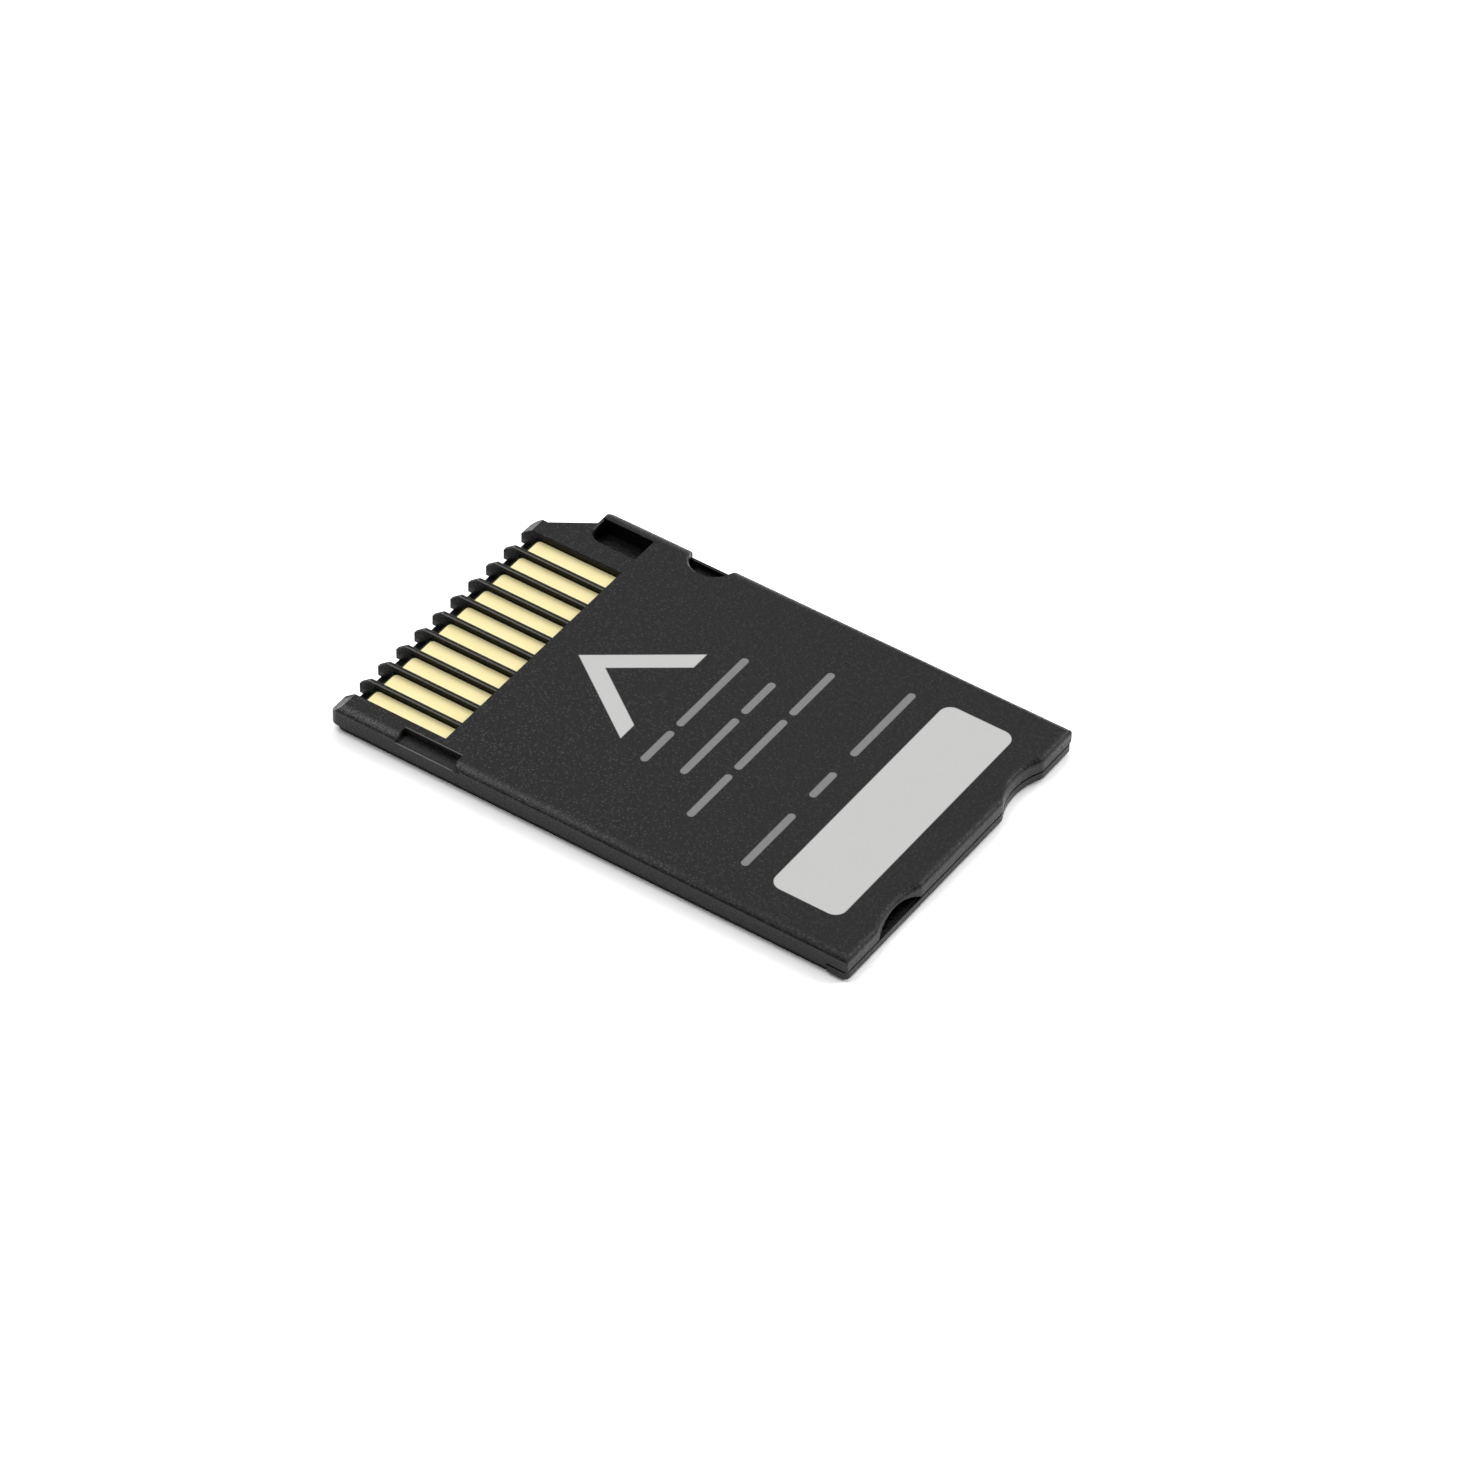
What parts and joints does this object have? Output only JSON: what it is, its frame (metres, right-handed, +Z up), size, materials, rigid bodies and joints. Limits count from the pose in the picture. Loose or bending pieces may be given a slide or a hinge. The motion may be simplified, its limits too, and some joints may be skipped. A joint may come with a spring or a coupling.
{
  "type": "memory card",
  "caption": "Thin stick-format flash memory card with two moulded covers, recessed gold contacts between ribs, a keyed corner, side recesses and finger scallops.",
  "frame": {"origin": "middle of the flat label face, on which the card lies with its contacts up", "axes": "+X across the card, +Y along the card towards the contact end that goes into the socket first, +Z up, out of the contact side"},
  "size_m": [0.02, 0.031, 0.0016],
  "materials": {
    "cover_plastic": "fine spark-eroded grain",
    "board": "solder-masked glass fibre laminate",
    "film": "translucent adhesive film",
    "gold_contact": "gold plated, satin",
    "chip_package": "moulded epoxy with tinned leads",
    "capacitor": "ceramic with tinned ends",
    "resistor": "ceramic with tinned ends"
  },
  "bodies": {
    "root": {"contact_side_cover": "cover_plastic", "label_side_cover": "cover_plastic", "circuit_board": "board", "bonding_film": "film", "memory_chip": "chip_package", "controller_chip": "chip_package", "contact_01": "gold_contact", "contact_02": "gold_contact", "contact_03": "gold_contact", "contact_04": "gold_contact", "contact_05": "gold_contact", "contact_06": "gold_contact", "contact_07": "gold_contact", "contact_08": "gold_contact", "contact_09": "gold_contact", "contact_10": "gold_contact", "capacitor_01": "capacitor", "capacitor_02": "capacitor", "capacitor_03": "capacitor", "capacitor_04": "capacitor", "capacitor_05": "capacitor", "capacitor_06": "capacitor", "resistor_01": "resistor", "resistor_02": "resistor", "resistor_03": "resistor", "resistor_04": "resistor"}
  },
  "joints": []
}
